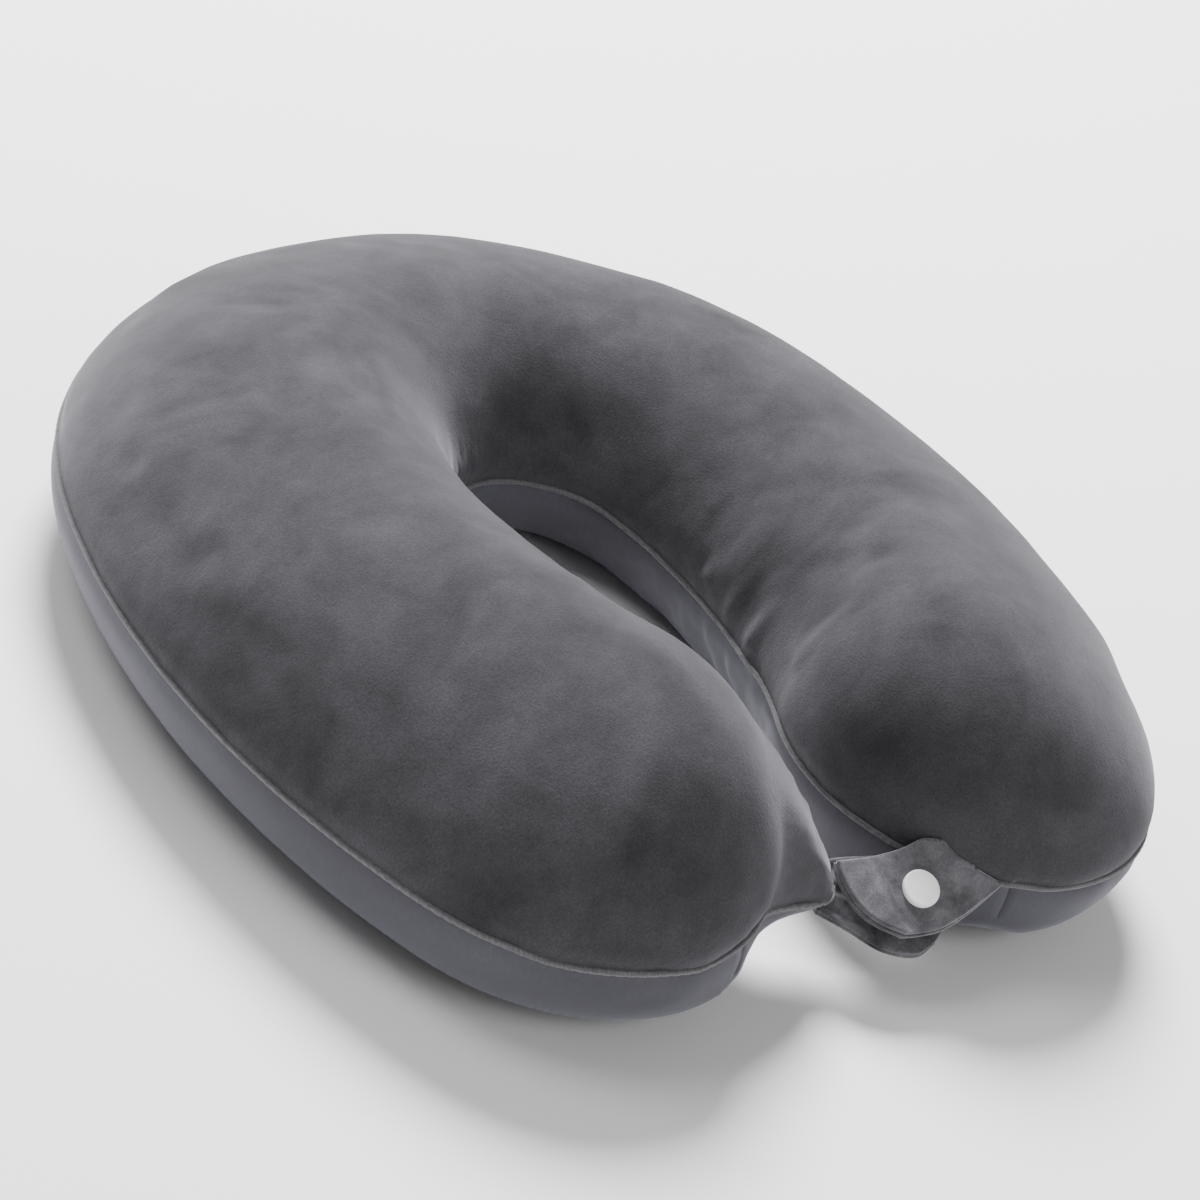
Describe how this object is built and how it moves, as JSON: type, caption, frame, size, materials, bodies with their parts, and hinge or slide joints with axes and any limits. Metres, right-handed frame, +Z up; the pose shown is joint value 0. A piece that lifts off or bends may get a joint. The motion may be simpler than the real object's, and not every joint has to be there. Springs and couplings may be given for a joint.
{
  "type": "u shaped neck pillow",
  "caption": "U shaped foam neck pillow with a velour top, smooth knit underside, hidden rear zip and snap tabs across the front opening.",
  "frame": {"origin": "centre of the underside, on the surface that the pillow lies on", "axes": "+Z up; the neck opening faces -Y; +X to the side of the tab that carries the snap's cap"},
  "size_m": [0.301, 0.3241, 0.0836],
  "materials": {
    "foam": "matt open-cell memory foam",
    "liner": "thin stretch knit",
    "velour": "short-pile velour, dark grey",
    "knit": "smooth knit, dark bluish grey",
    "welt": "seam edge",
    "zip_tape": "woven tape",
    "zip_coil": "nylon coil",
    "zip_metal": "dark lacquer",
    "snap_white": "white, smooth",
    "snap_clear": "white, smooth"
  },
  "bodies": {
    "pillow": {"foam_core": "foam", "inner_liner": "liner", "top_panel": "velour", "bottom_panel": "knit", "seam_welt": "welt", "zip_tape_upper": "zip_tape", "zip_tape_lower": "zip_tape", "zip_coil_upper": "zip_coil", "zip_coil_lower": "zip_coil", "zip_stop_left": "zip_metal", "zip_stop_right": "zip_metal", "right_tab_tail": "knit", "left_tab_tail": "knit"},
    "zip_slider": {"zip_slider": "zip_metal"},
    "zip_pull": {"zip_pull": "zip_metal"},
    "right_tab": {"right_tab_outer": "velour", "right_tab_inner": "knit", "snap_cap": "snap_white", "snap_socket": "snap_clear"},
    "left_tab": {"left_tab_outer": "velour", "left_tab_inner": "knit", "snap_stud": "snap_clear", "snap_stud_knob": "snap_clear", "snap_stud_cap": "snap_white"}
  },
  "joints": [
    {"name": "zip_slide", "type": "hinge", "parent": "pillow", "child": "zip_slider", "pos_m": [0, 0.01515, 0.031], "axis": [0, 0, 1], "range_deg": [0, 84]},
    {"name": "zip_pull_flip", "type": "hinge", "parent": "zip_slider", "child": "zip_pull", "pos_m": [0.09913, 0.12525, 0.031], "axis": [0, 0, -1], "range_deg": [0, 170]},
    {"name": "right_tab_fold", "type": "hinge", "parent": "pillow", "child": "right_tab", "pos_m": [0.03117, -0.14868, 0.03029], "axis": [-0.7488, 0.6428, 0.1615], "range_deg": [0, 90]},
    {"name": "left_tab_fold", "type": "hinge", "parent": "pillow", "child": "left_tab", "pos_m": [-0.00054, -0.13781, 0.02236], "axis": [0.3023, 0.8096, 0.5032], "range_deg": [0, 20]}
  ]
}
